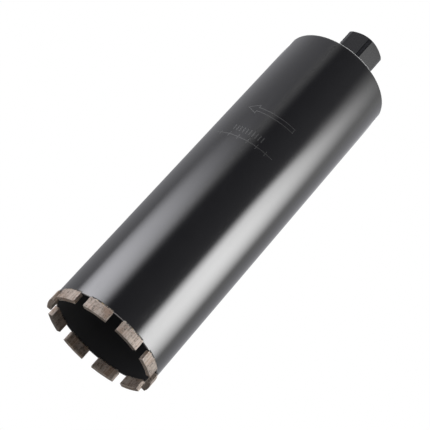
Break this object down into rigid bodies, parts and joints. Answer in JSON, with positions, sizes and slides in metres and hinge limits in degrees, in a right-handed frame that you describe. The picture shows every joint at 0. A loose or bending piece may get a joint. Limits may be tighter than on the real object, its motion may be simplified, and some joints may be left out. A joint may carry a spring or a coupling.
{
  "type": "diamond core bit",
  "caption": "Tubular core bit for concrete and stone, with brazed cutting segments round an open rim and a hexagonal hub threaded for a drill spindle.",
  "frame": {"origin": "on the axis, in the plane of the ten cutting faces, on which the bit stands", "axes": "+Z along the axis from the crown to the hub; +X through the middle of the first segment"},
  "size_m": [0.112, 0.1114, 0.411],
  "materials": {
    "barrel_coating": "semi-gloss black coating on steel tube",
    "plate_coating": "semi-gloss black coating over steel and weld",
    "hub_coating": "satin black finish on machined steel",
    "segment_metal": "sintered metal matrix with fine diamond grit, ground grain",
    "braze": "dull silver solder, partly under the coating"
  },
  "bodies": {
    "root": {"barrel": "barrel_coating", "back_plate": "plate_coating", "plate_weld": "plate_coating", "hub": "hub_coating", "hub_weld": "hub_coating", "segment_01": "segment_metal", "segment_02": "segment_metal", "segment_03": "segment_metal", "segment_04": "segment_metal", "segment_05": "segment_metal", "segment_06": "segment_metal", "segment_07": "segment_metal", "segment_08": "segment_metal", "segment_09": "segment_metal", "segment_10": "segment_metal", "braze_seam_01": "braze", "braze_seam_02": "braze", "braze_seam_03": "braze", "braze_seam_04": "braze", "braze_seam_05": "braze", "braze_seam_06": "braze", "braze_seam_07": "braze", "braze_seam_08": "braze", "braze_seam_09": "braze", "braze_seam_10": "braze"}
  },
  "joints": []
}
